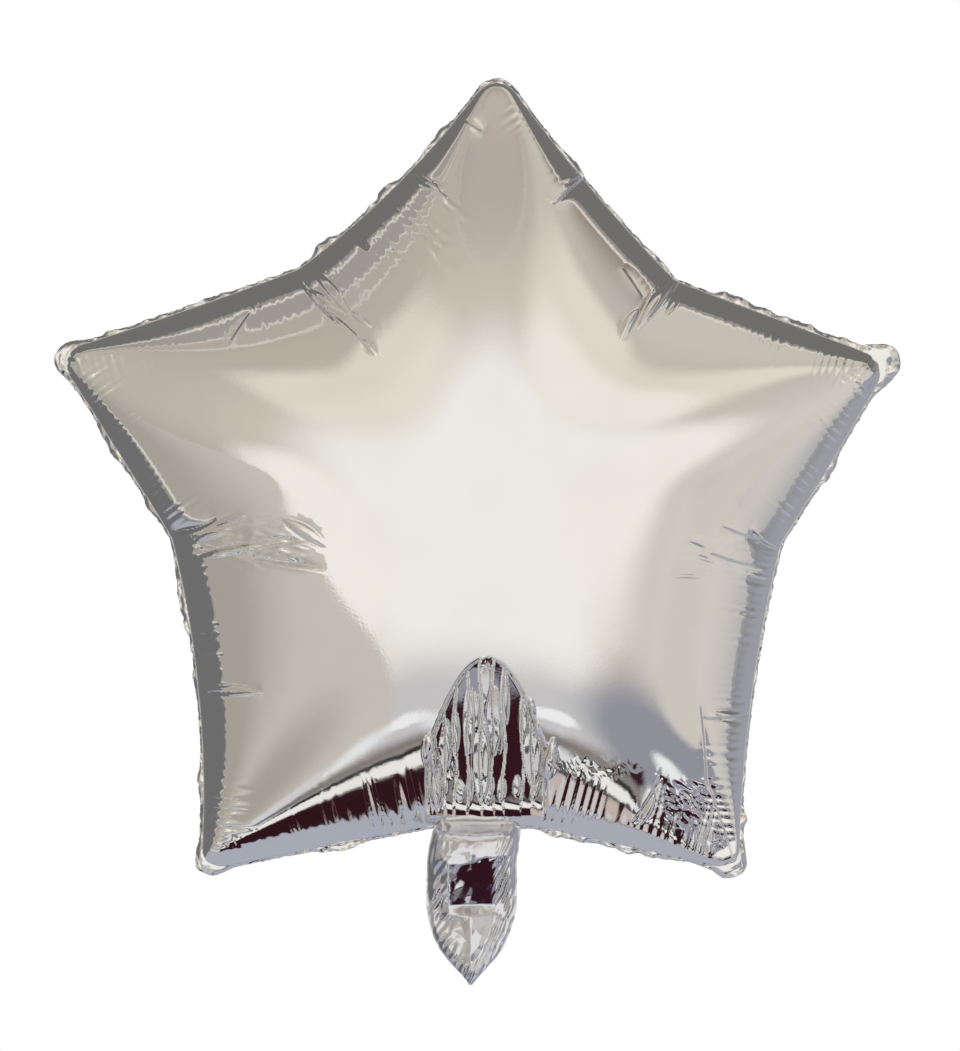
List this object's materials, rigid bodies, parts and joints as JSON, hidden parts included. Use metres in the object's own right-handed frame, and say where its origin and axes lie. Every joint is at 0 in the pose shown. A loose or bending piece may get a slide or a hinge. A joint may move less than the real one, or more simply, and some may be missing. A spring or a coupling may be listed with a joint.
{
  "type": "star foil balloon",
  "caption": "Inflated star-shaped foil balloon with a sealed border round its edge and a leaf-shaped filling neck that folds at its root.",
  "frame": {"origin": "centre of the inflated star, in the plane of the seam, where the air holds it up", "axes": "+Z towards the top tip, away from the neck; the front panel faces -Y; +X to the right as seen from the front"},
  "size_m": [0.4402, 0.1308, 0.4736],
  "materials": {
    "foil_front": "mirror silver metallised film, faintly warm",
    "foil_back": "mirror silver metallised film",
    "foil_border": "crinkled heat-sealed silver film",
    "foil_neck": "crinkled silver film",
    "clear_film": "clear plastic film"
  },
  "bodies": {
    "envelope": {"front_panel": "foil_front", "back_panel": "foil_back", "seam_border": "foil_border"},
    "neck": {"neck_front_ply": "foil_neck", "neck_back_ply": "foil_neck", "valve_film": "clear_film"}
  },
  "joints": [
    {"name": "neck_fold", "type": "hinge", "parent": "envelope", "child": "neck", "pos_m": [-0.004, 0, -0.1645], "axis": [1, 0, 0], "range_deg": [-60, 60]}
  ]
}
